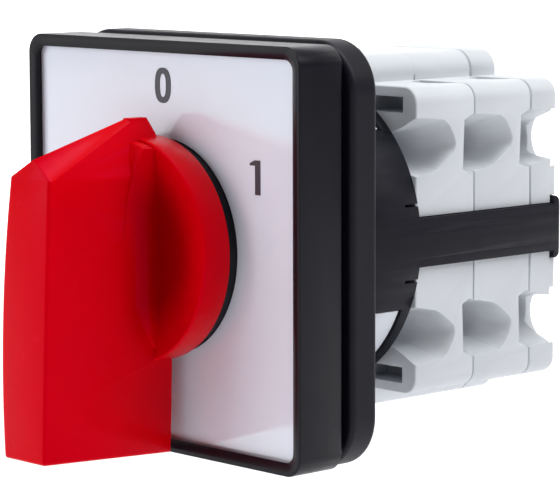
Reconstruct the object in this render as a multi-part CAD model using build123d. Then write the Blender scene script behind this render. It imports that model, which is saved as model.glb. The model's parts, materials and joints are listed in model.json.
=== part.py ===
from build123d import *
import math
import os

# Cam switch for a panel: red pointer knob, 48 mm front, latching drum and two contact chambers.
# Frame: X to the right seen from the front, Y into the panel, Z up. Millimetres.
# Origin: on the shaft axis, on the face of the panel that the rear frame seats on.

# Front bezel
front_size = 48.0
front_corner_radius = 2.3
bezel_depth = 6.4
bezel_edge_radius = 0.45
bezel_wall = 1.8
rim_width = 0.95
rim_chamfer = 0.35
recess_depth = 1.0
bezel_floor = 1.6
neck_inset = 1.1
skirt_inset = 2.6
skirt_wall = 1.5
skirt_reach = 1.4
boss_radius = 12.5
boss_height = 2.15
boss_bore_radius = 5.6

# Legend plate
plate_thickness = 0.75
plate_clearance = 0.15

# Rear frame and gasket
frame_overhang = 0.4
rear_frame_depth = 4.05
rear_frame_corner_radius = 6.0
rear_frame_edge_radius = 0.7
rear_frame_web = 2.2
groove_width = 1.3
skirt_clearance = 0.15
gasket_outer_radius = 19.0
gasket_inner_radius = 13.0
gasket_depth = 1.0
gasket_clearance = 0.05

# Neck bush, its nut and the shaft seal
neck_radius = 11.0
neck_clearance = 0.1
neck_front_reach = 8.3
neck_flange_radius = 14.0
neck_flange_thickness = 1.8
spigot_radius = 9.5
spigot_clearance = 0.1
nut_radius = 14.4
nut_thickness = 2.6
nut_gap = 0.15
nut_slots = 12
nut_slot_width = 1.8
nut_slot_depth = 0.9
seal_outer_radius = 5.9
seal_thickness = 1.3

# Shaft
shaft_square = 5.0
shaft_fit = 0.05
journal_radius = 4.2
journal_clearance = 0.05
shaft_nose_radius = 2.45
shaft_nose_length = 2.6
shaft_nose_recess = 0.2
shaft_nose_gap = 0.4
shaft_tip_gap = 0.1
journal_overrun = 0.4

# Knob
knob_radius = 13.1
knob_disc_depth = 3.8
knob_gap = 0.15
knob_rim_radius = 0.35
blade_half_width = 3.9
blade_bottom_half_width = 3.6
blade_top_half_width = 3.55
blade_tip_half_width = 0.5
blade_reach_top = 18.2
blade_reach_middle = 18.85
blade_reach_bottom = 19.5
blade_tail = 23.6
blade_tail_rise = 0.9
blade_standoff = 1.45
blade_waist = 1.0
blade_shoulder = 9.1
blade_ridge_front = 11.3
blade_ridge_setback = 0.6
blade_tip_height = 15.2
blade_tip_depth = 2.6
blade_tip_run = 0.6
blade_tip_drop = 1.9
blade_edge_radius = 0.4
dome_height = 4.3
crown_lift = 1.7
scoop_radius = 15.3
scoop_start = 4.4
valley_x = 4.4
dish_depth = 1.2
knob_back_recess = 1.5
knob_back_radius = 11.4
knob_hub_radius = 5.2
socket_reach = 9.1

# Mounting drum with its two latch arms
drum_radius = 19.05
drum_wall = 1.65
drum_front = 4.8
drum_front_wall = 1.5
drum_rim_band = 1.4
window_low_edge = 7.9
window_high_edge = 13.0
root_half_height = 4.3
root_slot_width = 0.35
root_slot_length = 2.1
arm_thickness = 1.5
arm_half_height = 2.9
arm_clearance = 0.1
hook_half_height = 3.85
hook_seat_depth = 1.1
hook_length = 2.15
hook_reach = 0.9
hook_bite = 0.95
hook_gap = 0.05
hook_edge_radius = 0.6
hook_corner_radius = 0.7

# Detent unit inside the drum
detent_clearance = 0.2
detent_bore_radius = 5.0
window_pad_drop = 0.35
window_pad_clearance = 0.15
detent_wall = 1.8
detent_front_wall = 1.2
detent_end_gap = 0.1
star_radius = 8.2
star_valley_radius = 6.7
star_points = 6
star_thickness = 3.3
star_gap = 0.3
leaf_thickness = 0.5
leaf_width = 3.0
leaf_offset = 8.9
leaf_half_length = 12.3
leaf_nose_half_height = 2.3
leaf_gap = 0.1
leaf_holder_half_height = 0.9
leaf_holder_thickness = 1.0

# Contact chambers and rear cover
chamber_front = 12.4
chamber_pitch = 9.9
chamber_count = 2
flank_inset = 0.85
lobe_corner_radius = 2.0
hump_half_width = 8.1
hump_rise = 3.2
hump_corner_radius = 2.5
seam_chamfer = 0.14
cover_depth = 4.95
cover_notch_x = 13.9
cover_notch_z = 10.9
cover_notch_half_height = 3.7
cover_notch_depth = 1.3
cover_edge_radius = 0.8
chamber_front_wall = 1.3
shaft_hole_radius = 4.7
cam_bore_radius = 7.8
contact_room_half_width = 7.9
contact_room_bottom = 5.0
contact_room_top = 16.6
hump_wall = 1.4

# Cam and followers
cam_high_radius = 7.0
contact_travel = 2.0
switch_throw = 60.0
low_dwell = 40.0
cam_facets = 36
cam_gap = 0.3
follower_radius = 1.2
follower_clearance = 0.12
plunger_half_width = 2.1
plunger_rear_margin = 0.6
plunger_nose_height = 0.3
plunger_tab_gap = 1.2
guide_clearance = 0.06
guide_thickness = 1.2
guide_depth = 2.0
guide_top = 17.4

# Contacts
strip_thickness = 1.2
strip_bottom = 7.6
strip_width = 4.0
strip_centre = 5.6
strip_inner = 5.0
strip_outer = 11.3
strip_clearance = 0.05
tip_radius = 1.3
tip_height = 0.4
tip_offset = 6.2
closed_gap = 0.03
bridge_thickness = 0.8
bridge_half_length = 7.5
bridge_hole_radius = 1.15
pin_radius = 1.05
pin_height = 1.6

# Contact springs
spring_radius = 1.85
spring_wire_radius = 0.25
spring_turns = 4.0
spring_end_gap = 0.05

# Terminals
screw_x = 12.2
screw_setback = 1.5
screw_shank_radius = 1.75
screw_head_radius = 2.4
screw_head_height = 1.6
screw_head_bottom = 15.25
screw_tip_level = 7.5
screw_slot_width = 0.7
screw_slot_depth = 0.8
screw_hole_clearance = 0.1
driver_notch_radius = 2.95
driver_notch_setback = 0.3
pocket_bottom = 15.1
pocket_top = 17.0
pocket_inner = 9.2
pocket_outer = 16.0
pocket_depth = 4.4
room_bottom = 7.4
room_top = 12.8
room_inner = 8.9
room_outer = 14.6
room_front_depth = 4.4
room_rear_depth = 1.9
pad_inner = 9.3
pad_outer = 14.4
pad_front_reach = 4.1
pad_rear_reach = 1.6
saddle_bottom = 11.6
saddle_thickness = 0.8
saddle_lip = 0.9
saddle_inset = 0.2

# Wire funnels
throat_x = 14.5
funnel_end_x = 10.6
funnel_mouth = ((-1.5, 7.6), (-1.5, 13.8), (-0.3, 14.5), (4.7, 13.95), (7.0, 11.8), (3.4, 8.2), (-0.5, 7.2))
funnel_throat = ((-1.5, 8.65), (-1.5, 12.85), (-0.5, 12.85), (2.8, 12.85), (4.4, 10.8), (2.8, 8.65), (-0.5, 8.65))
funnel_end = ((-1.5, 9.2), (-1.5, 12.3), (-0.5, 12.3), (1.3, 12.3), (2.6, 10.8), (1.3, 9.2), (-0.5, 9.2))
funnel_overrun = 0.6

# Tie screws
tie_x = 13.4
tie_shank_radius = 1.45
tie_hole_clearance = 0.15
tie_head_radius = 2.6
tie_head_height = 1.8
tie_head_depth = 0.4
tie_boss_radius = 2.6
tie_front = 8.8

# Sizes that follow from others
skirt_width = front_size - 2 * skirt_inset
rear_frame_size = front_size + 2 * frame_overhang
lobe_half_width = drum_radius - flank_inset
lobe_half_height = lobe_half_width
hump_half_height = lobe_half_height + hump_rise

# Places along Y
rear_frame_front = -rear_frame_depth
bezel_back = rear_frame_front - groove_width
bezel_front = bezel_back - bezel_depth
plate_front = bezel_front + recess_depth
plate_back = plate_front + plate_thickness
floor_back = plate_back + bezel_floor
boss_front = plate_back - boss_height
knob_back = boss_front - knob_gap
knob_rim_front = knob_back - knob_disc_depth
drum_back = chamber_front
chamber_back = chamber_front + chamber_pitch * chamber_count
cover_back = chamber_back + cover_depth
hook_seat = cover_back - hook_seat_depth
arm_end = hook_seat + hook_gap + hook_reach
cam_low_radius = cam_high_radius - contact_travel
fixed_tip_top = strip_bottom + strip_thickness + tip_height
bridge_bottom = fixed_tip_top + closed_gap + contact_travel + tip_height
bridge_top = bridge_bottom + bridge_thickness
spring_ceiling = hump_half_height - hump_wall
follower_bottom = cam_high_radius + follower_clearance


def front_plane(y):
    return Plane(origin=(0, y, 0), x_dir=(1, 0, 0), z_dir=(0, -1, 0))


def slab(sketch, y_start, y_end):
    """Extrude a front-view sketch from one depth to another."""
    return extrude(front_plane(y_start) * sketch, amount=-(y_end - y_start))


def bar(x_start, x_end, y_start, y_end, z_start, z_end):
    middle = Pos((x_start + x_end) / 2, (y_start + y_end) / 2, (z_start + z_end) / 2)
    return middle * Box(abs(x_end - x_start), abs(y_end - y_start), abs(z_end - z_start))


def rod_along_y(radius, y_start, y_end, x=0.0, z=0.0):
    return Pos(x, (y_start + y_end) / 2, z) * Rot(90, 0, 0) * Cylinder(radius, abs(y_end - y_start))


def rod_along_z(radius, z_start, z_end, x, y):
    return Pos(x, y, (z_start + z_end) / 2) * Cylinder(radius, abs(z_end - z_start))


def four_quadrants(shape):
    """The shape of the upper right quadrant, repeated in all four."""
    right = shape + mirror(shape, about=Plane.XY)
    return right + mirror(right, about=Plane.YZ)


def both_sides(shape):
    return shape + mirror(shape, about=Plane.YZ)


def edges_at_depth(shape, y, tolerance=0.01):
    flat_edges = [e for e in shape.edges() if abs(e.bounding_box().size.Y) < tolerance]
    return [e for e in flat_edges if abs(e.center().Y - y) < tolerance]


def rounded_square(size, radius):
    return RectangleRounded(size, size, radius)


def make_bezel():
    """Square front bezel: a rim round the legend, a floor, walls behind it and a round boss."""
    body = slab(rounded_square(front_size, front_corner_radius), bezel_front, bezel_back)
    body = fillet(edges_at_depth(body, bezel_front), bezel_edge_radius)
    opening = front_size - 2 * rim_width
    recess = slab(rounded_square(opening, front_corner_radius - rim_width / 2), bezel_front - 1, plate_back)
    body -= recess
    rim_edges = [e for e in edges_at_depth(body, bezel_front) if e.bounding_box().size.X < opening + 0.01
                 and abs(e.center().X) < opening / 2 + 0.01 and abs(e.center().Z) < opening / 2 + 0.01]
    body = chamfer(rim_edges, rim_chamfer)
    inside = front_size - 2 * bezel_wall
    body -= slab(rounded_square(inside, front_corner_radius - 0.5), floor_back, bezel_back + 1)
    neck = rounded_square(front_size - 2 * neck_inset, front_corner_radius - neck_inset / 2)
    skirt = rounded_square(skirt_width, front_corner_radius)
    skirt_hole = rounded_square(skirt_width - 2 * skirt_wall, front_corner_radius - 0.5)
    body += slab(neck - skirt_hole, bezel_back - 1.0, rear_frame_front)
    body += slab(skirt - skirt_hole, rear_frame_front, rear_frame_front + skirt_reach)
    body += rod_along_y(boss_radius, boss_front, plate_back)
    body -= rod_along_y(boss_bore_radius, boss_front - 1, floor_back + 1)
    return body


def make_legend_plate():
    size = front_size - 2 * rim_width - 2 * plate_clearance
    plate = slab(rounded_square(size, front_corner_radius - rim_width / 2), plate_front, plate_back)
    return plate - rod_along_y(boss_radius + plate_clearance, plate_front - 1, plate_back + 1)


def make_rear_frame():
    body = slab(rounded_square(rear_frame_size, rear_frame_corner_radius), rear_frame_front, 0)
    body = fillet(edges_at_depth(body, rear_frame_front) + edges_at_depth(body, 0), rear_frame_edge_radius)
    pocket = rounded_square(skirt_width + 2 * skirt_clearance, front_corner_radius)
    body -= slab(pocket, rear_frame_front - 1, -rear_frame_web)
    body -= rod_along_y(neck_radius + neck_clearance, -rear_frame_web - 1, 1)
    groove = Circle(gasket_outer_radius) - Circle(gasket_inner_radius)
    return body - slab(groove, -gasket_depth, 1)


def make_gasket():
    outer = Circle(gasket_outer_radius - gasket_clearance)
    return slab(outer - Circle(gasket_inner_radius + gasket_clearance), -gasket_depth, 0)


def make_neck_bush():
    """Threaded neck that passes through the panel and carries the drum on its spigot."""
    body = rod_along_y(neck_radius, -neck_front_reach, drum_front)
    body += rod_along_y(neck_flange_radius, -rear_frame_web - neck_flange_thickness, -rear_frame_web)
    body += rod_along_y(spigot_radius, drum_front, drum_front + drum_front_wall)
    body -= rod_along_y(journal_radius + journal_clearance, -neck_front_reach - 1, drum_front + 3)
    return body - rod_along_y(seal_outer_radius, -neck_front_reach - 1, -neck_front_reach + seal_thickness)


def make_shaft_seal():
    ring = Circle(seal_outer_radius) - Circle(journal_radius + journal_clearance)
    return slab(ring, -neck_front_reach, -neck_front_reach + seal_thickness)


def make_ring_nut():
    nut_back = drum_front - nut_gap
    body = slab(Circle(nut_radius) - Circle(neck_radius + neck_clearance), nut_back - nut_thickness, nut_back)
    notch = bar(nut_radius - nut_slot_depth, nut_radius + 1, nut_back - nut_thickness - 1, nut_back + 1,
                -nut_slot_width / 2, nut_slot_width / 2)
    for index in range(nut_slots):
        body -= Rot(0, index * 360 / nut_slots, 0) * notch
    return body


def make_shaft():
    """Square shaft with a round journal in the neck and a round nose in the rear cover."""
    square = Rectangle(shaft_square, shaft_square)
    nose_start = chamber_back - shaft_nose_recess
    body = slab(square, knob_rim_front - socket_reach + shaft_tip_gap, nose_start)
    body += rod_along_y(journal_radius, -neck_front_reach - journal_overrun, drum_front + drum_front_wall)
    return body + rod_along_y(shaft_nose_radius, nose_start, nose_start + shaft_nose_length)


def blade_front_view():
    """Outline of the blade seen from the front: slightly bowed sides and a pointed top."""
    foot = (blade_bottom_half_width, -blade_tail)
    waist = (blade_half_width, blade_waist)
    shoulder = (blade_top_half_width, blade_shoulder)
    tip = (blade_tip_half_width, blade_tip_height)
    right = ThreePointArc(foot, waist, shoulder) + Line(shoulder, tip)
    left = mirror(right, about=Plane.YZ)
    top = Line(tip, (-tip[0], tip[1]))
    bottom = Line((-foot[0], foot[1]), foot)
    return make_face(right + top + left + bottom)


def blade_side_view(blade_back):
    """Outline of the blade seen from the side: a bowed front, a sloping roof and an upright back."""
    ridge = (knob_back - blade_reach_top + blade_ridge_setback, blade_ridge_front)
    shoulder = (knob_back - blade_reach_top, blade_shoulder)
    waist = (knob_back - blade_reach_middle, blade_waist)
    foot = (knob_back - blade_reach_bottom, -blade_tail + blade_tail_rise)
    front = Line(ridge, shoulder) + ThreePointArc(shoulder, waist, foot)
    rest = Polyline(foot, (blade_back, -blade_tail), (blade_back, blade_tip_height - blade_tip_drop),
                    (blade_back - blade_tip_run, blade_tip_height),
                    (blade_back - blade_tip_run - blade_tip_depth, blade_tip_height), ridge)
    return make_face(front + rest)


def rounded_blade_edges(body, blade_back):
    """Front corners and foot edges of the blade, which are rounded."""
    chosen = []
    for edge in body.edges():
        middle = edge @ 0.5
        at_foot = middle.Z < blade_tail_rise - blade_tail + 0.1 and middle.Y < blade_back - 0.1
        at_flank = abs(middle.X) > blade_top_half_width - 0.1 and middle.Z < blade_shoulder - 1
        at_front = at_flank and middle.Y < knob_back - blade_reach_top
        if at_foot or at_front:
            chosen.append(edge)
    return chosen


def make_blade():
    """Handle blade: its front view cut by its side view and by two planes that slope from the ridge."""
    blade_back = bezel_front - blade_standoff
    body = slab(blade_front_view(), knob_back - blade_reach_bottom - 1, blade_back)
    body &= extrude(Plane.YZ * blade_side_view(blade_back), amount=knob_radius, both=True)
    body = fillet(rounded_blade_edges(body, blade_back), blade_edge_radius)
    slope = (blade_ridge_front - blade_shoulder) / blade_top_half_width
    ridge_start = Vector(0, knob_back - blade_reach_top + blade_ridge_setback, blade_ridge_front)
    ridge_end = Vector(0, blade_back - blade_tip_run - blade_tip_depth, blade_tip_height)
    drop = Vector(2 * blade_half_width, 0, -slope * 2 * blade_half_width)
    base = Face(Wire.make_polygon([ridge_start, ridge_end, ridge_end + drop, ridge_start + drop], close=True))
    roof_space = Solid.extrude(base, Vector(0, 0, blade_tip_height))
    front_gable = Vector(0, -2, 0)
    gable = Face(Wire.make_polygon([ridge_start + front_gable, ridge_start, ridge_start + drop,
                                    ridge_start + drop + front_gable], close=True))
    roof_space += Solid.extrude(gable, Vector(0, 0, blade_tip_height))
    body -= both_sides(roof_space)
    return body


def make_knob():
    """Red pointer knob, one moulding: a round base, finger scoops and an offset blade."""
    blade = make_blade()
    disc = rod_along_y(knob_radius, knob_rim_front, knob_back)
    dish_radius = (knob_radius ** 2 + dish_depth ** 2) / (2 * dish_depth)
    disc = fillet(edges_at_depth(disc, knob_rim_front), knob_rim_radius)
    disc -= Pos(0, knob_rim_front + dish_depth - dish_radius, 0) * Sphere(dish_radius)
    crown_front = knob_rim_front - dome_height
    root = bar(-valley_x, valley_x, crown_front, knob_back, -knob_radius, knob_radius)
    scoop_place = Pos(blade_half_width + scoop_radius, knob_rim_front - scoop_start, 0)
    scoop = scoop_place * Cylinder(scoop_radius, 3 * knob_radius)
    root -= both_sides(scoop)
    crown_radius = (knob_radius ** 2 + dome_height ** 2) / (2 * dome_height)
    root &= Pos(0, crown_front + crown_radius, crown_lift) * Sphere(crown_radius)
    root &= rod_along_y(knob_radius - knob_rim_radius, crown_front, knob_back)
    body = disc + blade + root
    body -= slab(Circle(knob_back_radius) - Circle(knob_hub_radius), knob_back - knob_back_recess, knob_back + 1)
    socket = Rectangle(shaft_square + 2 * shaft_fit, shaft_square + 2 * shaft_fit)
    return body - slab(socket, knob_rim_front - socket_reach, knob_back + 1)


def drum_windows(inset):
    """Space of the drum's two windows, each from the upper right over the top and down the left side."""
    start = drum_front + drum_front_wall + inset
    end = drum_back - drum_rim_band - inset
    reach = drum_radius + 1
    window = bar(-reach, 0.01, start, end, window_low_edge + inset, reach)
    window += bar(0, reach, start, end, window_high_edge + inset, reach)
    return window + Rot(0, 180, 0) * window


def make_drum():
    """Black drum that seats on the neck, with two windows and a latch arm on each side."""
    ring = Circle(drum_radius) - Circle(drum_radius - drum_wall)
    body = slab(ring, drum_front, drum_back)
    body += slab(Circle(drum_radius) - Circle(spigot_radius + spigot_clearance), drum_front,
                 drum_front + drum_front_wall)
    body -= drum_windows(0.0)
    slot = bar(drum_radius - drum_wall - 1, drum_radius + 1, drum_back - root_slot_length, drum_back + 1,
               root_half_height, root_half_height + root_slot_width)
    body -= four_quadrants(slot)
    arm_inner = drum_radius - arm_thickness
    arm = bar(arm_inner, drum_radius, drum_back - root_slot_length, arm_end, -arm_half_height, arm_half_height)
    hook = bar(arm_inner, drum_radius, arm_end - hook_length, arm_end, -hook_half_height, hook_half_height)
    hook = fillet(hook.edges().filter_by(Axis.X), hook_corner_radius)
    nose = bar(arm_inner - hook_bite, drum_radius, hook_seat + hook_gap, arm_end, -arm_half_height,
               arm_half_height)
    arm += hook + nose
    outer_edges = [e for e in arm.edges() if abs(e.center().X - drum_radius) < 0.01
                   and abs(e.center().Y - arm_end) < 0.01]
    arm = fillet(outer_edges, hook_edge_radius)
    arm &= rod_along_y(drum_radius, drum_front, arm_end + 1)
    return body + both_sides(arm)


def make_detent_housing():
    """Pale cup that fits the drum and holds the star wheel and the two leaf springs."""
    front = drum_front + drum_front_wall + detent_end_gap
    back = drum_back - detent_end_gap
    radius = drum_radius - drum_wall - detent_clearance
    body = slab(Circle(radius) - Circle(detent_bore_radius), front, back)
    body -= rod_along_y(radius - detent_wall, front + detent_front_wall, back + 1)
    boss = rod_along_y(tie_boss_radius, front, back, tie_x)
    boss -= rod_along_y(tie_shank_radius, tie_front, back + 1, tie_x)
    body += both_sides(boss)
    leaf_inner = leaf_offset - leaf_thickness / 2 - leaf_gap
    leaf_outer = leaf_offset + leaf_thickness / 2 + leaf_gap
    low = leaf_half_length - 2 * leaf_holder_half_height
    holder = bar(leaf_inner - leaf_holder_thickness, leaf_inner, front, back, low, leaf_half_length)
    holder += bar(leaf_outer, leaf_outer + leaf_holder_thickness, front, back, low, leaf_half_length)
    pad_ring = Circle(drum_radius - window_pad_drop) - Circle(radius - 0.1)
    pads = slab(pad_ring, front, back) & drum_windows(window_pad_clearance)
    return body + four_quadrants(holder) + pads


def make_star_wheel():
    """Six-point star whose valleys hold the switch at each position."""
    middle_radius = (star_radius + star_valley_radius) / 2
    swing = (star_radius - star_valley_radius) / 2
    points = []
    steps = star_points * 6
    for index in range(steps):
        angle = 2 * math.pi * index / steps
        radius = middle_radius - swing * math.cos(star_points * angle)
        points.append((radius * math.cos(angle), radius * math.sin(angle)))
    outline = make_face(Spline(points, periodic=True))
    front = drum_front + drum_front_wall + detent_end_gap + detent_front_wall + star_gap
    square = Rectangle(shaft_square + 2 * shaft_fit, shaft_square + 2 * shaft_fit)
    return slab(outline - square, front, front + star_thickness)


def make_detent_spring(side_sign):
    """Flat leaf spring with a nose that rests in a valley of the star wheel."""
    nose = star_valley_radius + leaf_gap
    half = leaf_thickness / 2
    flat = leaf_offset - half
    outer = [(flat + leaf_thickness, -leaf_half_length), (flat + leaf_thickness, -leaf_nose_half_height)]
    inner = [(flat, -leaf_half_length), (flat, -leaf_nose_half_height)]
    outer_tip = (nose + leaf_thickness, 0)
    inner_tip = (nose, 0)
    path = Polyline(
        inner[0], inner[1], inner_tip, (inner[1][0], -inner[1][1]), (inner[0][0], -inner[0][1]),
        (outer[0][0], -outer[0][1]), (outer[1][0], -outer[1][1]), outer_tip, outer[1], outer[0], close=True)
    front = drum_front + drum_front_wall + detent_end_gap + detent_front_wall + star_gap
    spring = slab(make_face(path), front, front + leaf_width)
    if side_sign < 0:
        spring = mirror(spring, about=Plane.YZ)
    return spring


def body_outline():
    """Cross-shaped section of the chambers: wide lobes and a taller hump in the middle."""
    lobes = RectangleRounded(2 * lobe_half_width, 2 * lobe_half_height, lobe_corner_radius)
    hump = RectangleRounded(2 * hump_half_width, 2 * hump_half_height, hump_corner_radius)
    return lobes + hump


def funnel_face(x, seam, section):
    """Face of one funnel section: a flat front side, a round rear side and cut corners."""
    a, b, c, d, tip, e, f = [Vector(x, seam + y, z) for y, z in section]
    edges = [Edge.make_line(a, b), Edge.make_line(b, c), Edge.make_line(c, d),
             Edge.make_three_point_arc(d, tip, e), Edge.make_line(e, f), Edge.make_line(f, a)]
    return Face(Wire(edges))


def funnel(seam):
    """Wire funnel: wide at the flank, narrower at its throat, then a hole towards the screw."""
    share = 1 + funnel_overrun / (lobe_half_width - throat_x)
    outside = []
    for mouth, throat in zip(funnel_mouth, funnel_throat):
        y = throat[0] + (mouth[0] - throat[0]) * share
        z = throat[1] + (mouth[1] - throat[1]) * share
        outside.append((y, z))
    mouth_face = funnel_face(lobe_half_width + funnel_overrun, seam, outside)
    throat_face = funnel_face(throat_x, seam, funnel_throat)
    end_face = funnel_face(funnel_end_x, seam, funnel_end)
    cone = Solid.make_loft([mouth_face.outer_wire(), throat_face.outer_wire()], True)
    return cone + Solid.make_loft([throat_face.outer_wire(), end_face.outer_wire()], True)


def head_pocket(seam):
    """Pocket for a terminal screw's head, both sides of the seam."""
    front = seam - room_front_depth
    return bar(pocket_inner, pocket_outer, front, seam + pocket_depth, pocket_bottom, pocket_top)


def terminal_room(seam):
    """Hollow round one terminal, both sides of the seam: wire room, screw hole and head pocket."""
    room = bar(room_inner, room_outer, seam - room_front_depth, seam + room_rear_depth, room_bottom, room_top)
    shank = rod_along_z(screw_shank_radius + screw_hole_clearance, room_top - 0.1, pocket_bottom + 0.1, screw_x,
                        seam - screw_setback)
    return room + head_pocket(seam) + shank


def driver_notch(seam):
    """Half-round opening in the top of a lobe for the screwdriver, open at the seam."""
    centre_y = seam - driver_notch_setback
    top = lobe_half_height + 1
    notch = rod_along_z(driver_notch_radius, pocket_top - 0.1, top, screw_x, centre_y)
    straight = bar(screw_x - driver_notch_radius, screw_x + driver_notch_radius, centre_y, seam,
                   pocket_top - 0.1, top)
    return notch + straight


def arm_groove(y_start, y_end, half_height):
    inner = drum_radius - arm_thickness - arm_clearance
    return both_sides(bar(inner, lobe_half_width + 1, y_start, y_end, -half_height, half_height))


def make_chamber(index):
    """One contact chamber: a cam bore, two contact rooms and four terminals at its rear seam."""
    front = chamber_front + index * chamber_pitch
    back = front + chamber_pitch
    floor = front + chamber_front_wall
    body = slab(body_outline(), front, back)
    body = chamfer(edges_at_depth(body, front) + edges_at_depth(body, back), seam_chamfer)
    body -= rod_along_y(shaft_hole_radius, front - 1, floor + 1)
    body -= rod_along_y(cam_bore_radius, floor, back + 1)
    low_room = bar(-contact_room_half_width, contact_room_half_width, floor, back + 1, contact_room_bottom,
                   contact_room_top)
    high_room = bar(-hump_half_width + hump_wall, hump_half_width - hump_wall, floor, back + 1,
                    contact_room_top - 0.1, spring_ceiling)
    rooms = low_room + high_room
    body -= rooms
    body -= mirror(rooms, about=Plane.XY)
    guide_inner = plunger_half_width + guide_clearance
    guide = bar(guide_inner, guide_inner + guide_thickness, floor - 0.1, floor + guide_depth,
                cam_bore_radius, guide_top)
    body += four_quadrants(guide)
    front_hollow = terminal_room(front) if index > 0 else head_pocket(front)
    hollows = front_hollow + terminal_room(back) + driver_notch(back)
    body -= four_quadrants(hollows)
    strip_front = front + strip_centre - strip_width / 2
    passage = bar(contact_room_half_width - 0.5, strip_outer + strip_clearance, strip_front - strip_clearance,
                  strip_front + strip_width + strip_clearance, strip_bottom - strip_clearance,
                  strip_bottom + strip_thickness + strip_clearance)
    body -= four_quadrants(passage)
    body -= four_quadrants(funnel(front))
    body -= four_quadrants(funnel(back))
    body -= both_sides(rod_along_y(tie_shank_radius + tie_hole_clearance, front - 1, back + 1, tie_x))
    return body - arm_groove(front - 1, back + 1, arm_half_height + arm_clearance)


def rear_notch():
    """Opening where the last wire funnel runs out through the rear face."""
    outer = lobe_half_width + 1
    high = cover_notch_z + cover_notch_half_height
    low = cover_notch_z - cover_notch_half_height
    curve = ThreePointArc((outer, high), (cover_notch_x, cover_notch_z), (outer, low))
    outline = make_face(curve + Line((outer, low), (outer, high)))
    return slab(outline, cover_back - cover_notch_depth, cover_back + 1)


def make_rear_cover():
    """Rear cover: closes the last chamber, carries the shaft nose and holds the tie screw heads."""
    front = chamber_back
    body = slab(body_outline(), front, cover_back)
    body = chamfer(edges_at_depth(body, front), seam_chamfer)
    body = fillet(edges_at_depth(body, cover_back), cover_edge_radius)
    nose_end = front + shaft_nose_length + shaft_nose_gap
    body -= rod_along_y(shaft_nose_radius + journal_clearance, front - 1, nose_end)
    body -= four_quadrants(terminal_room(front))
    body -= four_quadrants(funnel(front))
    body -= both_sides(rod_along_y(tie_shank_radius + tie_hole_clearance, front - 1, cover_back + 1, tie_x))
    head_front = cover_back - tie_head_depth - tie_head_height
    body -= both_sides(rod_along_y(tie_head_radius + tie_hole_clearance, head_front, cover_back + 1, tie_x))
    body -= arm_groove(front - 1, cover_back + 1, arm_half_height + arm_clearance)
    body -= arm_groove(arm_end - hook_length - arm_clearance, cover_back + 1, hook_half_height + arm_clearance)
    nose_space = drum_radius - arm_thickness - hook_bite - arm_clearance
    seat_half_height = arm_half_height + arm_clearance
    body -= both_sides(bar(nose_space, lobe_half_width + 1, hook_seat, cover_back + 1, -seat_half_height,
                           seat_half_height))
    return body - four_quadrants(rear_notch())


def make_tie_screws():
    head_front = cover_back - tie_head_depth - tie_head_height
    head_back = cover_back - tie_head_depth
    screws = []
    for side_sign in (1, -1):
        x = side_sign * tie_x
        screw = rod_along_y(tie_shank_radius, tie_front, head_front + 0.01, x)
        screw += rod_along_y(tie_head_radius, head_front, head_back, x)
        slot = bar(x - tie_head_radius, x + tie_head_radius, head_back - screw_slot_depth, head_back + 1,
                   -screw_slot_width / 2, screw_slot_width / 2)
        screws.append(screw - slot)
    return screws


def cam_radius(angle):
    """Cam radius by angle in degrees, the same every half turn."""
    turn = (angle - switch_throw) % 180.0
    ramp_start = 90.0 - switch_throw
    ramp_end = ramp_start + switch_throw
    rise_start = ramp_end + low_dwell
    if turn < ramp_start:
        return cam_high_radius
    if turn < ramp_end:
        return cam_high_radius - contact_travel * (turn - ramp_start) / switch_throw
    if turn < rise_start:
        return cam_low_radius
    return cam_low_radius + contact_travel * (turn - rise_start) / (180.0 - rise_start)


def make_cam(index):
    """Cam disc with two equal profiles, one for each contact of its chamber."""
    pieces = []
    for step in range(cam_facets):
        turn = step * 360 / cam_facets
        radius = cam_radius(turn)
        pieces.append((radius * math.cos(math.radians(turn)), radius * math.sin(math.radians(turn))))
    outline = make_face(Polyline(pieces, close=True))
    square = Rectangle(shaft_square + 2 * shaft_fit, shaft_square + 2 * shaft_fit)
    front = chamber_front + index * chamber_pitch + chamber_front_wall + cam_gap
    back = chamber_front + (index + 1) * chamber_pitch - cam_gap
    return slab(outline - square, front, back)


def make_plunger(index):
    """Upper follower: a round nose on the cam, a guided tab and a pin that centres the bridge."""
    front = chamber_front + index * chamber_pitch + chamber_front_wall + cam_gap
    room_front = chamber_front + index * chamber_pitch
    contact_y = room_front + strip_centre
    back = contact_y + strip_width / 2 + plunger_rear_margin
    nose_centre = follower_bottom + follower_radius
    nose = slab(Pos(0, nose_centre) * Circle(follower_radius), front, back)
    neck = bar(-follower_radius, follower_radius, front, back, nose_centre, nose_centre + 1)
    block_bottom = nose_centre + plunger_nose_height
    block = bar(-plunger_half_width, plunger_half_width, front, back, block_bottom, bridge_bottom)
    tab_back = room_front + chamber_front_wall + guide_depth
    tab_top = guide_top - plunger_tab_gap
    tab = bar(-plunger_half_width, plunger_half_width, front, tab_back, block_bottom, tab_top)
    pin = rod_along_z(pin_radius, bridge_bottom, bridge_top + pin_height, 0, contact_y)
    return nose + neck + block + tab + pin


def make_bridge(index):
    contact_y = chamber_front + index * chamber_pitch + strip_centre
    half = strip_width / 2
    bridge = bar(-bridge_half_length, bridge_half_length, contact_y - half, contact_y + half, bridge_bottom,
                 bridge_top)
    return bridge - rod_along_z(bridge_hole_radius, bridge_bottom - 1, bridge_top + 1, 0, contact_y)


def make_moving_tips(index):
    contact_y = chamber_front + index * chamber_pitch + strip_centre
    return [rod_along_z(tip_radius, bridge_bottom - tip_height, bridge_bottom, side_sign * tip_offset, contact_y)
            for side_sign in (1, -1)]


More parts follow.
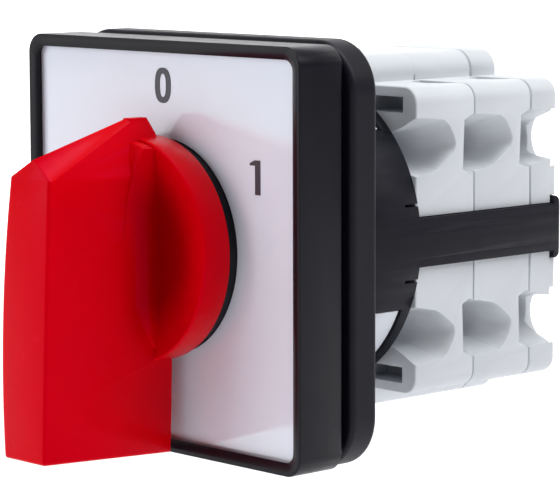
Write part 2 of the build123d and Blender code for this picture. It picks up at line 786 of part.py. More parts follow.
def make_spring(index):
    """Contact spring, a short helix between the bridge and the roof of the hump."""
    contact_y = chamber_front + index * chamber_pitch + strip_centre
    height = spring_ceiling - bridge_top - 2 * (spring_wire_radius + spring_end_gap)
    helix = Helix(pitch=height / spring_turns, height=height, radius=spring_radius)
    start = Plane(origin=helix @ 0, z_dir=helix % 0)
    coil = sweep(start * RegularPolygon(spring_wire_radius, 6), path=helix)
    return Pos(0, contact_y, bridge_top + spring_wire_radius + spring_end_gap) * coil


def make_fixed_contact(index):
    """Upper right fixed contact: an arm into the contact room and a pad under the terminal screw."""
    front = chamber_front + index * chamber_pitch
    seam = front + chamber_pitch
    arm_front = front + strip_centre - strip_width / 2
    top = strip_bottom + strip_thickness
    arm = bar(strip_inner, strip_outer, arm_front, arm_front + strip_width, strip_bottom, top)
    pad = bar(pad_inner, pad_outer, seam - pad_front_reach, seam + pad_rear_reach, strip_bottom, top)
    contact = arm + pad
    return contact - rod_along_z(screw_shank_radius, strip_bottom - 1, top + 1, screw_x, seam - screw_setback)


def make_fixed_tip(index):
    contact_y = chamber_front + index * chamber_pitch + strip_centre
    return rod_along_z(tip_radius, strip_bottom + strip_thickness, fixed_tip_top, tip_offset, contact_y)


def make_saddle(index):
    """Wire saddle on the screw shank, with a lip bent down at its outer end."""
    seam = chamber_front + (index + 1) * chamber_pitch
    top = saddle_bottom + saddle_thickness
    inner = pad_inner + saddle_inset
    front = seam - pad_front_reach + saddle_inset
    back = seam + pad_rear_reach
    plate = bar(inner, pad_outer, front, back, saddle_bottom, top)
    plate += bar(inner, inner + saddle_thickness, front, back, saddle_bottom - saddle_lip, top)
    hole = rod_along_z(screw_shank_radius + screw_hole_clearance / 2, saddle_bottom - 1, top + 1, screw_x,
                       seam - screw_setback)
    return plate - hole


def make_terminal_screw(index):
    seam = chamber_front + (index + 1) * chamber_pitch
    screw_y = seam - screw_setback
    head_top = screw_head_bottom + screw_head_height
    screw = rod_along_z(screw_shank_radius, screw_tip_level, screw_head_bottom, screw_x, screw_y)
    screw += rod_along_z(screw_head_radius, screw_head_bottom, head_top, screw_x, screw_y)
    slot = bar(screw_x - screw_head_radius, screw_x + screw_head_radius, screw_y - screw_slot_width / 2,
               screw_y + screw_slot_width / 2, head_top - screw_slot_depth, head_top + 1)
    return screw - slot


quadrants = (("upper_right", 1, 1), ("upper_left", -1, 1), ("lower_right", 1, -1), ("lower_left", -1, -1))


def place_in_quadrant(shape, x_sign, z_sign):
    if x_sign < 0:
        shape = mirror(shape, about=Plane.YZ)
    if z_sign < 0:
        shape = mirror(shape, about=Plane.XY)
    return shape


def build_nodes():
    nodes = {
        "bezel_frame": make_bezel(),
        "legend_plate": make_legend_plate(),
        "rear_frame": make_rear_frame(),
        "panel_gasket": make_gasket(),
        "neck_bush": make_neck_bush(),
        "shaft_seal": make_shaft_seal(),
        "ring_nut": make_ring_nut(),
        "knob": make_knob(),
        "cam_shaft": make_shaft(),
        "mounting_drum": make_drum(),
        "detent_housing": make_detent_housing(),
        "star_wheel": make_star_wheel(),
        "detent_spring_right": make_detent_spring(1),
        "detent_spring_left": make_detent_spring(-1),
        "rear_cover": make_rear_cover(),
        "tie_screws": make_tie_screws(),
    }
    terminal_screws = []
    fixed_tips = []
    for index in range(chamber_count):
        number = index + 1
        nodes[f"contact_chamber_{number}"] = make_chamber(index)
        nodes[f"cam_{number}"] = make_cam(index)
        upper_parts = (("plunger", make_plunger(index)), ("contact_bridge", make_bridge(index)),
                       ("contact_spring", make_spring(index)))
        for level, z_sign in (("upper", 1), ("lower", -1)):
            for name, shape in upper_parts:
                nodes[f"{name}_{level}_{number}"] = place_in_quadrant(shape, 1, z_sign)
            tips = [place_in_quadrant(tip, 1, z_sign) for tip in make_moving_tips(index)]
            nodes[f"moving_tips_{level}_{number}"] = tips
        for name, x_sign, z_sign in quadrants:
            nodes[f"fixed_contact_{name}_{number}"] = place_in_quadrant(make_fixed_contact(index), x_sign, z_sign)
            nodes[f"wire_saddle_{name}_{number}"] = place_in_quadrant(make_saddle(index), x_sign, z_sign)
            terminal_screws.append(place_in_quadrant(make_terminal_screw(index), x_sign, z_sign))
            fixed_tips.append(place_in_quadrant(make_fixed_tip(index), x_sign, z_sign))
    nodes["terminal_screws"] = terminal_screws
    nodes["fixed_tips"] = fixed_tips
    return nodes


def main():
    os.makedirs("parts", exist_ok=True)
    for name, shape in build_nodes().items():
        if isinstance(shape, list):
            solids = [solid for piece in shape for solid in piece.solids()]
        else:
            solids = shape.solids()
        model = solids[0] if len(solids) == 1 else Compound(children=list(solids))
        model.label = name
        export_step(model, os.path.join("parts", name + ".step"))


main()
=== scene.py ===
import json
import math

import bmesh
import bpy
from mathutils import Matrix, Vector

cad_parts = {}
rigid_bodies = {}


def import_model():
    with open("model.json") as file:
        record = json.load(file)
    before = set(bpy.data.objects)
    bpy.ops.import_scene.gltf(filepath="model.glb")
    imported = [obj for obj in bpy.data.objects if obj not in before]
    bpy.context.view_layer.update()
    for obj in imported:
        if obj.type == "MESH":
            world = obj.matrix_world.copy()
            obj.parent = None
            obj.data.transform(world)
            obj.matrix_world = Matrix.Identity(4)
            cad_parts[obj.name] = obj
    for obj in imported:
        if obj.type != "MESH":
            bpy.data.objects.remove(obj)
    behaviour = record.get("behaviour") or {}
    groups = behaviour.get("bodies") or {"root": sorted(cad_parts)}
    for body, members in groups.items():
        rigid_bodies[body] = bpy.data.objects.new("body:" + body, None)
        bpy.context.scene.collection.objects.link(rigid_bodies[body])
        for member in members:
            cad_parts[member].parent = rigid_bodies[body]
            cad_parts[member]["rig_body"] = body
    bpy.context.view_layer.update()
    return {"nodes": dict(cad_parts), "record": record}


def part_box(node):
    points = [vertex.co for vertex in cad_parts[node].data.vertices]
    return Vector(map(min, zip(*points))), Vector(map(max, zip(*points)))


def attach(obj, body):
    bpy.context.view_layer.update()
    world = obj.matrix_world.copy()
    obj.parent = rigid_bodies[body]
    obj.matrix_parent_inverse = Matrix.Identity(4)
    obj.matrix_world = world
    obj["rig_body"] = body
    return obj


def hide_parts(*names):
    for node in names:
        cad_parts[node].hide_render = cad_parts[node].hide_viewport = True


# Looks of the panel cam switch: materials, fine shapes and edges, legend digits, stage, lights and camera.
# The frame's axes: X to the right seen from the front, Y into the panel, Z up. The frame is in metres,
# and the sizes and places named here are in millimetres.

mm = 0.001

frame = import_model()
nodes = frame["nodes"]

# Places of the main pieces, from the frame
chamber_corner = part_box("contact_chamber_1")[1] / mm
chamber_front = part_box("contact_chamber_1")[0].y / mm
seams = (chamber_corner.y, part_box("contact_chamber_2")[1].y / mm)
funnel_starts = (chamber_front, *seams)
front_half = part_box("bezel_frame")[1].x / mm
legend_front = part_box("legend_plate")[0].y / mm

# Digits of the legend
digit_lift = 0.02
digit_depth = 0.06
digit_body = "switch_body"
zero_centre = (-0.1, 18.7)
zero_size = (2.8, 4.1)
zero_stroke = (0.86, 0.70)
oval_steps = 48
oval_squareness = 2.5
one_centre = (15.7, 9.1)
one_size = (1.75, 3.9)
one_stem = 0.88
one_flag = 0.62
one_flag_slant = 0.38
one_flag_end = 0.24
one_flag_joint = 0.05

# Section of the contact chambers, and the narrow dark grooves between them
lobe_corner = 2.0
hump_half_width = 8.1
hump_corner = 2.5
seam_chamfer = 0.14
seam_depth = 0.5
seam_closing = 0.9
cover_seam_extra = 0.12

# Wire funnels' mouths, as places behind the seam and above the middle. The plain mouth's round side has
# straight facets in the frame's mesh, and its points are their corners. Each corner of the seen mouth has
# a third value, the length over which it is rounded.
plain_mouth = ((-1.5, 7.6), (-1.5, 13.8), (-0.3, 14.5), (4.7, 13.95), (5.75, 13.53), (6.55, 12.78),
               (7.01, 11.78), (7.09, 10.77), (6.79, 9.72), (6.13, 8.85), (5.2, 8.28), (4.12, 8.1),
               (3.4, 8.2), (-0.5, 7.2))
seen_mouth = ((-2.05, 7.0, 0.4), (-2.05, 13.85, 0.2), (-0.9, 14.4, 0.5), (4.95, 13.75, 1.9),
              (7.2, 11.0, 1.4), (4.4, 8.75, 1.6), (-0.2, 6.95, 0.2))
corner_steps = 6
funnel_centre = (1.8, 11.0)
funnel_floor = 14.5
funnel_steady = 0.8
cover_notch = 3.65

# Rear cover and latches: plain heights of the rear notches' edges with the heights seen, the groove for
# each latch, and the latch's wings
notch_edges = ((14.83, 14.5), (6.97, 7.5))
latch_inner = 17.4
arm_half_height = 2.85
groove_front = 34.75
groove_seen_front = 35.8
wing_front = 34.85
wing_round = 0.7
wing_seen_front = 35.9
wing_seen_round = 0.36

# Bezel: round corners of the legend's recess, outer edge, and the slope of the opening
recess_corner_centre = 21.225
recess_corner_reach = (1.5, 2.3)
corner_shift = 0.5
front_corner = 2.3
front_place = -11.75
outer_round = 0.46
outer_sharpness = 0.3
opening_half = 23.05
opening_place = -11.4
opening_reach = 0.55
opening_band = 0.3

# How far a vertex may lie from a named place and still belong to it
place_tolerance = 0.01
groove_tolerance = 0.02
mouth_tolerance = 0.06
recess_tolerance = 0.16
wing_tolerance = 0.05
merge_distance = 0.0005

# Small steps and limits of the geometry
slope_step = 0.01
parallel_limit = 1e-9
edge_slack = 1e-6

# Rounded edges: their widths and facets, and which edges count as sharp and which faces as flat, in degrees
knob_edge = 0.2
housing_edge = 0.12
bezel_edge = 0.06
edge_segments = 2
sharp_angle = 28.0
flat_angle = 1.0

# Texture of the materials: each noise has its scale per metre and its detail, and waves and grain a depth
cloud_noise = (240.0, 4.0)
patch_noise = (420.0, 5.0)
wave_noise = (90.0, 1.0)
wave_depth = 0.25
plastic_grain = 2600.0
metal_grain = 900.0
grain_detail = 3.0
grain_depth = 0.02
noise_range = (0.3, 0.7)
coat_roughness = 0.06
blue_cast = 10
even = (1.0, 1.0, 1.0)
drawn_wire = (1.0, 6.0, 1.0)
rolled_strip = (6.0, 1.0, 1.0)

# Painted shade in the knob's scoops: a darker red that stands in for the shade deep in the scoops, with its
# places along Y and distances from the axis
scoop_top = -21.5
scoop_floor = -16.0
scoop_inner = 6.5
scoop_outer = 12.0
scoop_shade_red = (0.34, 0.0, 0.0, 1.0)
without_depth = (1.0, 0.0, 1.0)

# Camera, from the fit of the 48 mm front to the photograph, with angles in degrees
camera_place = (249.23, -223.12, 40.43)
camera_azimuth = 47.218
camera_elevation = 7.175
camera_roll = -0.159
camera_lens = 182.0
camera_sensor = 36.0
camera_near = 10.0

# Stage: floor, glow with distance, lights with place, size and watts, and the light from all round
floor_level = -62.0
floor_reach = 900.0
floor_curve = 160.0
floor_curve_steps = 12
floor_half_breadth = 1440.0
glow_low = 0.04
glow_high = 0.86
glow_start = 150.0
glow_full = 620.0
softboxes = {
    "top_softbox": ((60, 40, 420), 300, 1.6),
    "front_softbox": ((-230, -380, 130), 260, 0.9),
    "right_softbox": ((330, 190, 330), 240, 0.9),
}
light_target = (0, 5, 0)
world_strength = 0.18
white = (1.0, 1.0, 1.0, 1.0)


# Helpers

def link(thing):
    """Put a new object into the scene."""
    bpy.context.scene.collection.objects.link(thing)
    return thing


def dress(thing, material):
    """Give an object one material all over."""
    thing.data.materials.clear()
    thing.data.materials.append(material)


def body_of(node_name):
    """Name of the body that a node rides on."""
    return nodes[node_name]["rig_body"]


def smooth_share(share):
    """A share held between 0 and 1, with a slow start and a slow end."""
    held = min(max(share, 0.0), 1.0)
    return held ** 2 * (3 - 2 * held)


# Materials

def from_display(red, green, blue):
    """Linear colour from display values of 0 to 255, by the standard display curve."""
    colour = []
    for value in (red, green, blue):
        share = value / 255
        linear = share / 12.92 if share <= 0.04045 else ((share + 0.055) / 1.055) ** 2.4
        colour.append(linear)
    return (*colour, 1.0)


def map_range(tree, source, source_range, result_range, kind="LINEAR"):
    """A value mapped from one range to another, and held at the ends."""
    ramp = tree.nodes.new("ShaderNodeMapRange")
    ramp.interpolation_type = kind
    ramp.inputs["From Min"].default_value = source_range[0]
    ramp.inputs["From Max"].default_value = source_range[1]
    ramp.inputs["To Min"].default_value = result_range[0]
    ramp.inputs["To Max"].default_value = result_range[1]
    tree.links.new(source, ramp.inputs["Value"])
    return ramp.outputs["Result"]


def mix_node(tree, factor, second):
    """Mix of a first colour, still to be set, and a second one."""
    mix = tree.nodes.new("ShaderNodeMix")
    mix.data_type = "RGBA"
    mix.inputs["B"].default_value = second
    tree.links.new(factor, mix.inputs["Factor"])
    return mix


def vector_node(tree, operation):
    """Vector calculation of one kind."""
    node = tree.nodes.new("ShaderNodeVectorMath")
    node.operation = operation
    return node


def noise_node(tree, coordinates, scale, detail, stretch):
    """Noise in the object's own space, stretched along its axes where the surface is drawn or brushed."""
    mapping = tree.nodes.new("ShaderNodeMapping")
    mapping.inputs["Scale"].default_value = stretch
    noise = tree.nodes.new("ShaderNodeTexNoise")
    noise.inputs["Scale"].default_value = scale
    noise.inputs["Detail"].default_value = detail
    tree.links.new(coordinates.outputs["Object"], mapping.inputs["Vector"])
    tree.links.new(mapping.outputs["Vector"], noise.inputs["Vector"])
    return noise.outputs["Fac"]


def add_bumps(tree, shader, coordinates, layers, stretch):
    """Layers of bump, each with its strength, noise scale, noise detail and depth."""
    normal = None
    for strength, scale, detail, depth in layers:
        if strength <= 0:
            continue
        bump = tree.nodes.new("ShaderNodeBump")
        bump.inputs["Strength"].default_value = strength
        bump.inputs["Distance"].default_value = depth * mm
        tree.links.new(noise_node(tree, coordinates, scale, detail, stretch), bump.inputs["Height"])
        if normal:
            tree.links.new(normal, bump.inputs["Normal"])
        normal = bump.outputs["Normal"]
    if normal:
        tree.links.new(normal, shader.inputs["Normal"])


def make_material(name, colour, roughness, metallic=0.0, coat=0.0, specular=0.5, tint=None,
                  grain=0.0, grain_scale=plastic_grain, waves=0.0, shade=0.0, gloss_change=0.0,
                  stretch=even):
    """Plastic or metal with a fine grain, slow waves in its face and small changes of shade and gloss."""
    material = bpy.data.materials.new(name)
    material.use_nodes = True
    tree = material.node_tree
    shader = tree.nodes["Principled BSDF"]
    shader.inputs["Base Color"].default_value = colour
    shader.inputs["Roughness"].default_value = roughness
    shader.inputs["Metallic"].default_value = metallic
    shader.inputs["Specular IOR Level"].default_value = specular
    shader.inputs["Coat Weight"].default_value = coat
    shader.inputs["Coat Roughness"].default_value = coat_roughness
    if tint:
        shader.inputs["Specular Tint"].default_value = (*tint, 1.0)
    coordinates = tree.nodes.new("ShaderNodeTexCoord")
    if shade > 0:
        clouds = noise_node(tree, coordinates, *cloud_noise, stretch)
        mix = mix_node(tree, map_range(tree, clouds, noise_range, (0.0, 1.0)), colour)
        darker = tuple(value * (1 - shade) for value in colour[:3])
        mix.inputs["A"].default_value = (*darker, 1.0)
        tree.links.new(mix.outputs["Result"], shader.inputs["Base Color"])
    if gloss_change > 0:
        patches = noise_node(tree, coordinates, *patch_noise, stretch)
        gloss_range = (roughness * (1 - gloss_change), roughness * (1 + gloss_change))
        tree.links.new(map_range(tree, patches, noise_range, gloss_range), shader.inputs["Roughness"])
    layers = ((waves, *wave_noise, wave_depth), (grain, grain_scale, grain_detail, grain_depth))
    add_bumps(tree, shader, coordinates, layers, stretch)
    return material


def black_plastic(name, level, roughness):
    """Black plastic with a faint blue cast, from its display level."""
    colour = from_display(level, level, level + blue_cast)
    return make_material(name, colour, roughness, specular=0.2, grain=0.35, waves=0.08, shade=0.1,
                         gloss_change=0.1)


def pale_plastic(name, colour, roughness=0.48):
    """Pale plastic with a fine even grain."""
    return make_material(name, colour, roughness, specular=0.4, grain=0.25, waves=0.06, shade=0.03,
                         gloss_change=0.1)


def metal(name, colour, roughness, stretch=even):
    """Metal, with its grain stretched where the piece is rolled or drawn."""
    return make_material(name, colour, roughness, metallic=1.0, grain=0.4, grain_scale=metal_grain,
                         shade=0.12, gloss_change=0.25, stretch=stretch)


def paint_scoop_shade(material):
    """Painted shade: the knob's red gets darker deep in the finger scoops, where shade falls between the
    blade and the disc.
    """
    tree = material.node_tree
    shader = tree.nodes["Principled BSDF"]
    source = shader.inputs["Base Color"].links[0].from_socket
    coordinates = tree.nodes.new("ShaderNodeTexCoord")
    split = tree.nodes.new("ShaderNodeSeparateXYZ")
    flat = vector_node(tree, "MULTIPLY")
    flat.inputs[1].default_value = without_depth
    radius = vector_node(tree, "LENGTH")
    both = tree.nodes.new("ShaderNodeMath")
    both.operation = "MULTIPLY"
    tree.links.new(coordinates.outputs["Object"], split.inputs[0])
    tree.links.new(coordinates.outputs["Object"], flat.inputs[0])
    tree.links.new(flat.outputs["Vector"], radius.inputs[0])
    depth_range = (scoop_top * mm, scoop_floor * mm)
    radius_range = (scoop_inner * mm, scoop_outer * mm)
    depth = map_range(tree, split.outputs["Y"], depth_range, (0.0, 1.0), "SMOOTHSTEP")
    near = map_range(tree, radius.outputs["Value"], radius_range, (1.0, 0.0), "SMOOTHSTEP")
    tree.links.new(depth, both.inputs[0])
    tree.links.new(near, both.inputs[1])
    # Painted shade: the darker red is mixed in deep in the scoops, near the blade's root
    mix = mix_node(tree, both.outputs["Value"], scoop_shade_red)
    tree.links.new(source, mix.inputs["A"])
    tree.links.new(mix.outputs["Result"], shader.inputs["Base Color"])


# Outlines and distances for the fine shapes

def box_distance(x, z, half_width, half_height, corner):
    """Distance from a rounded rectangle, below zero inside."""
    dx = abs(x) - half_width + corner
    dz = abs(z) - half_height + corner
    return math.hypot(max(dx, 0), max(dz, 0)) + min(max(dx, dz), 0) - corner


def chamber_distance(x, z):
    """Distance from the chambers' section, a square of lobes with a taller hump, below zero inside."""
    lobes = box_distance(x, z, chamber_corner.x, chamber_corner.x, lobe_corner)
    hump = box_distance(x, z, hump_half_width, chamber_corner.z, hump_corner)
    return min(lobes, hump)


def front_distance(x, z):
    """Distance from the bezel's square outline, below zero inside."""
    return box_distance(x, z, front_half, front_half, front_corner)


def outward(distance, x, z):
    """Direction straight out of an outline in the front view, from its distance function."""
    slope_x = distance(x + slope_step, z) - distance(x - slope_step, z)
    slope_z = distance(x, z + slope_step) - distance(x, z - slope_step)
    return Vector((slope_x, 0, slope_z)).normalized()


def rounded_outline(corners):
    """Closed outline with each corner replaced by a curve that starts its own length before it."""
    points = []
    count = len(corners)
    for index, (y, z, length) in enumerate(corners):
        here = Vector((y, z))
        before = Vector(corners[index - 1][:2])
        after = Vector(corners[(index + 1) % count][:2])
        start = here + (before - here).normalized() * length
        finish = here + (after - here).normalized() * length
        for step in range(corner_steps + 1):
            share = step / corner_steps
            points.append(start * (1 - share) ** 2 + here * 2 * share * (1 - share) + finish * share ** 2)
    return points


plain_outline = [Vector(point) for point in plain_mouth]
seen_outline = rounded_outline(seen_mouth)


def outline_reach(outline, direction):
    """How far an outline lies from the funnel's centre in one direction."""
    centre = Vector(funnel_centre)
    best = 0.0
    for index, point in enumerate(outline):
        start = outline[index - 1] - centre
        side = point - outline[index - 1]
        slant = direction.cross(side)
        if abs(slant) < parallel_limit:
            continue
        reach = start.cross(side) / slant
        along = start.cross(direction) / slant
        if -edge_slack <= along <= 1 + edge_slack:
            best = max(best, reach)
    return best


# Fine shapes: each function takes a vertex's place in millimetres and gives its new place

def shape_funnels(place):
    """The wire funnels' walls move so that their mouths get the outline that the photograph shows."""
    x, y, z = place
    weight = smooth_share((abs(x) - funnel_floor) / (chamber_corner.x - funnel_floor))
    if weight <= 0:
        return place
    for start in funnel_starts:
        local = Vector((y - start, abs(z))) - Vector(funnel_centre)
        if local.length < place_tolerance:
            continue
        direction = local.normalized()
        plain_reach = outline_reach(plain_outline, direction)
        if local.length > plain_reach + mouth_tolerance:
            continue
        change = local * (outline_reach(seen_outline, direction) / plain_reach - 1) * weight
        hold = min(1.0, abs(y - start) / funnel_steady)
        if start == funnel_starts[-1]:
            hold = min(hold, max(0.0, cover_notch - (y - start)))
        return Vector((x, y + change.x * hold, z + math.copysign(change.y, z)))
    return place


def shape_seams(place):
    """The seam behind each chamber becomes a narrow dark groove, closed where the photograph shows none."""
    x, y, z = place
    inside = -chamber_distance(x, z)
    on_hump = abs(z) > chamber_corner.x
    for seam in seams:
        if abs(y - seam) < place_tolerance and abs(inside - seam_chamfer) < seam_chamfer / 2:
            push = seam_depth
            if on_hump and seam == seams[0]:
                push = -seam_closing * seam_chamfer
            return place - outward(chamber_distance, x, z) * push
    if abs(y - seams[1] - seam_chamfer) < place_tolerance and abs(inside) < place_tolerance:
        return place + Vector((0, cover_seam_extra, 0))
    return place


def shape_housing(place):
    """A chamber's funnels and seams."""
    return shape_seams(shape_funnels(place))


def shape_cover(place):
    """Each latch's groove widens only where the latch's wings do, and the rear notches are less tall."""
    x, y, z = place
    for plain, seen in notch_edges:
        if abs(abs(z) - plain) < place_tolerance:
            return Vector((x, y, math.copysign(seen, z)))
    if abs(x) > latch_inner and abs(y - groove_front) < groove_tolerance and abs(z) > arm_half_height:
        return Vector((x, groove_seen_front, z))
    return shape_housing(place)


def shape_drum(place):
    """The wings of each latch are short."""
    x, y, z = place
    share = (y - wing_front) / wing_round
    in_round = -wing_tolerance < share < 1 + wing_tolerance
    if abs(x) > latch_inner and abs(z) > arm_half_height and in_round:
        return Vector((x, wing_seen_front + share * wing_seen_round, z))
    return place


def shape_corners(place):
    """The round corners of the legend and its recess become tighter."""
    x, y, z = place
    dx = abs(x) - recess_corner_centre
    dz = abs(z) - recess_corner_centre
    reach = math.hypot(dx, dz)
    low, high = recess_corner_reach
    if min(dx, dz) < -recess_tolerance or not low < reach < high:
        return place
    angle = math.atan2(max(dz, 0), max(dx, 0))
    centre = recess_corner_centre + corner_shift
    new_x = centre + (reach - corner_shift) * math.cos(angle)
    new_z = centre + (reach - corner_shift) * math.sin(angle)
    return Vector((math.copysign(new_x, x), y, math.copysign(new_z, z)))


def shape_bezel(place):
    """Crisper outer edge, and a broad slope from the rim down to the legend."""
    x, y, z = place
    inside = -front_distance(x, z)
    if inside < outer_round and y < front_place + outer_round:
        moved = place + outward(front_distance, x, z) * inside * (1 - outer_sharpness)
        moved.y = front_place + (y - front_place) * outer_sharpness
        return moved
    if y > opening_place + place_tolerance:
        return shape_corners(place)
    if abs(inside - (front_half - opening_half)) > opening_band:
        return place
    share = (y - front_place) / (opening_place - front_place)
    return place - outward(front_distance, x, z) * opening_reach * share


def finished_copy(node_name, edge_width, shape=None):
    """A copy in place of a node, with some vertices moved and its edges rounded a little, or left flat."""
    mesh = nodes[node_name].data.copy()
    thing = link(bpy.data.objects.new(node_name + "_finished", mesh))
    work = bmesh.new()
    work.from_mesh(mesh)
    bmesh.ops.remove_doubles(work, verts=work.verts, dist=merge_distance * mm)
    if shape:
        for vertex in work.verts:
            vertex.co = shape(vertex.co / mm) * mm
    bmesh.ops.dissolve_limit(work, angle_limit=math.radians(flat_angle), verts=work.verts, edges=work.edges)
    work.to_mesh(mesh)
    work.free()
    if edge_width > 0:
        mesh.shade_smooth()
        bevel = thing.modifiers.new("edges", "BEVEL")
        bevel.width = edge_width * mm
        bevel.segments = edge_segments
        bevel.limit_method = "ANGLE"
        bevel.angle_limit = math.radians(sharp_angle)
        bevel.use_clamp_overlap = True
        bevel.harden_normals = True
    else:
        mesh.shade_flat()
    dress(thing, materials[slot_of_node[node_name]])
    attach(thing, body_of(node_name))
    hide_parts(node_name)


# Digits

def print_digit(name, outline, holes, centre):
    """Thin raised print on the legend, from an outline in the front view and the holes in it."""
    curve = bpy.data.curves.new(name, "CURVE")
    curve.dimensions = "2D"
    curve.fill_mode = "BOTH"
    curve.extrude = digit_depth * mm / 2
    for loop in (outline, *holes):
        spline = curve.splines.new("POLY")
        spline.points.add(len(loop) - 1)
        for point, place in zip(spline.points, loop):
            point.co = (place[0] * mm, place[1] * mm, 0, 1)
        spline.use_cyclic_u = True
    maker = link(bpy.data.objects.new(name + "_curve", curve))
    bpy.context.view_layer.update()
    evaluated = maker.evaluated_get(bpy.context.evaluated_depsgraph_get())
    mesh = bpy.data.meshes.new_from_object(evaluated)
    bpy.data.objects.remove(maker)
    mesh.transform(Matrix.Rotation(math.radians(90), 4, "X"))
    mesh.transform(Matrix.Translation(Vector((centre[0], legend_front - digit_lift, centre[1])) * mm))
    thing = link(bpy.data.objects.new(name, mesh))
    dress(thing, materials["digit_ink"])
    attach(thing, digit_body)


def oval(width, height):
    """Points of a rounded oval, a little squarer than an ellipse."""
    power = 2 / oval_squareness
    points = []
    for step in range(oval_steps):
        angle = math.tau * step / oval_steps
        cosine = math.cos(angle)
        sine = math.sin(angle)
        x = math.copysign(abs(cosine) ** power, cosine) * width / 2
        z = math.copysign(abs(sine) ** power, sine) * height / 2
        points.append((x, z))
    return points


def make_digits():
    """The "0" above the knob and the "1" at its right."""
    outer = oval(*zero_size)
    inner = oval(zero_size[0] - 2 * zero_stroke[0], zero_size[1] - 2 * zero_stroke[1])
    print_digit("digit_zero", outer, [inner[::-1]], zero_centre)
    right = one_size[0] / 2
    left = -right
    top = one_size[1] / 2
    bottom = -top
    stem = right - one_stem
    flag_top = top - one_flag_slant
    one = [(stem, bottom), (right, bottom), (right, top), (stem - one_flag_joint, top),
           (left, flag_top), (left, flag_top - one_flag_end), (stem, top - one_flag)]
    print_digit("digit_one", one, [], one_centre)


# Stage, lights and camera

def make_floor_white():
    """White that glows more with distance from the object, as an evenly lit sweep does."""
    material = make_material("floor_white", from_display(252, 252, 254), 0.9, specular=0.1)
    tree = material.node_tree
    shader = tree.nodes["Principled BSDF"]
    shader.inputs["Emission Color"].default_value = white
    coordinates = tree.nodes.new("ShaderNodeTexCoord")
    distance = vector_node(tree, "LENGTH")
    tree.links.new(coordinates.outputs["Object"], distance.inputs[0])
    glow_range = (glow_start * mm, glow_full * mm)
    glow = map_range(tree, distance.outputs["Value"], glow_range, (glow_low, glow_high))
    tree.links.new(glow, shader.inputs["Emission Strength"])
    return material


def make_floor():
    """Pale floor that curves up into a pale wall behind the object."""
    azimuth = math.radians(camera_azimuth)
    away = Vector((-math.sin(azimuth), math.cos(azimuth), 0))
    side = Vector((math.cos(azimuth), math.sin(azimuth), 0))
    curve_start = floor_reach - floor_curve
    profile = [(-floor_reach, 0.0), (curve_start, 0.0)]
    for step in range(1, floor_curve_steps + 1):
        angle = math.pi / 2 * step / floor_curve_steps
        profile.append((curve_start + floor_curve * math.sin(angle), floor_curve * (1 - math.cos(angle))))
    profile.append((floor_reach, floor_reach))
    vertices = []
    for run, rise in profile:
        for across in (-floor_half_breadth, floor_half_breadth):
            place = away * run + side * across + Vector((0, 0, floor_level + rise))
            vertices.append(place * mm)
    faces = [(2 * i, 2 * i + 1, 2 * i + 3, 2 * i + 2) for i in range(len(profile) - 1)]
    mesh = bpy.data.meshes.new("studio_floor")
    mesh.from_pydata(vertices, [], faces)
    mesh.shade_smooth()
    floor = link(bpy.data.objects.new("studio_floor", mesh))
    dress(floor, make_floor_white())


def make_light(name, place, size, power):
    """Square softbox that faces the object."""
    data = bpy.data.lights.new(name, "AREA")
    data.shape = "SQUARE"
    data.size = size * mm
    data.energy = power
    light = link(bpy.data.objects.new(name, data))
    light.location = Vector(place) * mm
    direction = (Vector(light_target) - Vector(place)).normalized()
    light.rotation_euler = direction.to_track_quat("-Z", "Y").to_euler()


def make_lights():
    """Three softboxes and an even light from all round."""
    for name, (place, size, power) in softboxes.items():
        make_light(name, place, size, power)
    world = bpy.data.worlds.new("studio")
    world.use_nodes = True
    background = world.node_tree.nodes["Background"]
    background.inputs["Color"].default_value = white
    background.inputs["Strength"].default_value = world_strength
    bpy.context.scene.world = world
    bpy.context.scene.view_settings.view_transform = "Standard"


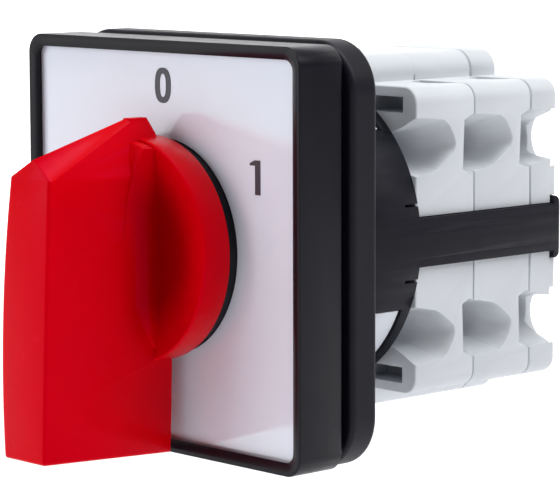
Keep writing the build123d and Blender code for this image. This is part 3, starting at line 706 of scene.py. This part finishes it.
def make_camera():
    """Camera at the photograph's place, turned to its angles."""
    azimuth = math.radians(camera_azimuth)
    elevation = math.radians(camera_elevation)
    roll = math.radians(camera_roll)
    back = Vector((math.sin(azimuth) * math.cos(elevation), -math.cos(azimuth) * math.cos(elevation),
                   math.sin(elevation)))
    level = Vector((math.cos(azimuth), math.sin(azimuth), 0))
    upright = back.cross(level)
    right = level * math.cos(roll) + upright * math.sin(roll)
    up = upright * math.cos(roll) - level * math.sin(roll)
    data = bpy.data.cameras.new("photo_camera")
    data.sensor_fit = "HORIZONTAL"
    data.sensor_width = camera_sensor
    data.lens = camera_lens
    data.clip_start = camera_near * mm
    camera = link(bpy.data.objects.new("photo_camera", data))
    turn = Matrix((right, up, back)).transposed().to_4x4()
    camera.matrix_world = Matrix.Translation(Vector(camera_place) * mm) @ turn
    bpy.context.scene.camera = camera


# The scene

materials = {
    "bezel_black": black_plastic("bezel_black", 11, 0.34),
    "frame_black": black_plastic("frame_black", 17, 0.46),
    "drum_black": black_plastic("drum_black", 18, 0.5),
    "legend_white": make_material("legend_white", from_display(222, 229, 242), 0.10, coat=1.0, waves=0.03,
                                  shade=0.012, gloss_change=0.2),
    "seal_rubber": make_material("seal_rubber", from_display(20, 20, 21), 0.8, grain=0.5, specular=0.25),
    "knob_red": make_material("knob_red", (0.64, 0.0, 0.004, 1.0), 0.26, specular=0.06,
                              tint=(1.0, 0.0, 0.7), waves=0.03, shade=0.03, gloss_change=0.06, grain=0.05),
    "zinc_steel": metal("zinc_steel", from_display(200, 201, 205), 0.3),
    "spring_steel": metal("spring_steel", from_display(172, 172, 178), 0.25, drawn_wire),
    "pale_plastic": pale_plastic("pale_plastic", from_display(222, 226, 234)),
    "white_nylon": pale_plastic("white_nylon", from_display(230, 230, 224), 0.5),
    "housing_grey": pale_plastic("housing_grey", from_display(205, 209, 214)),
    "cam_black": black_plastic("cam_black", 20, 0.5),
    "silver_contact": metal("silver_contact", from_display(214, 214, 210), 0.2),
    "contact_brass": metal("contact_brass", from_display(212, 170, 100), 0.28, rolled_strip),
    "digit_ink": make_material("digit_ink", from_display(50, 48, 60), 0.4, grain=0.2, shade=0.08),
}
# The knob's red gets painted shade deep in its finger scoops
paint_scoop_shade(materials["knob_red"])

slot_of_node = {entry["node"]: entry["material_slot"] for entry in frame["record"]["subparts"]}
for node_name, node in nodes.items():
    dress(node, materials[slot_of_node[node_name]])

finished_copy("knob", knob_edge)
finished_copy("mounting_drum", housing_edge, shape_drum)
finished_copy("contact_chamber_1", housing_edge, shape_housing)
finished_copy("contact_chamber_2", housing_edge, shape_housing)
finished_copy("rear_cover", housing_edge, shape_cover)
finished_copy("bezel_frame", bezel_edge, shape_bezel)
finished_copy("legend_plate", 0, shape_corners)
make_digits()
make_floor()
make_lights()
make_camera()
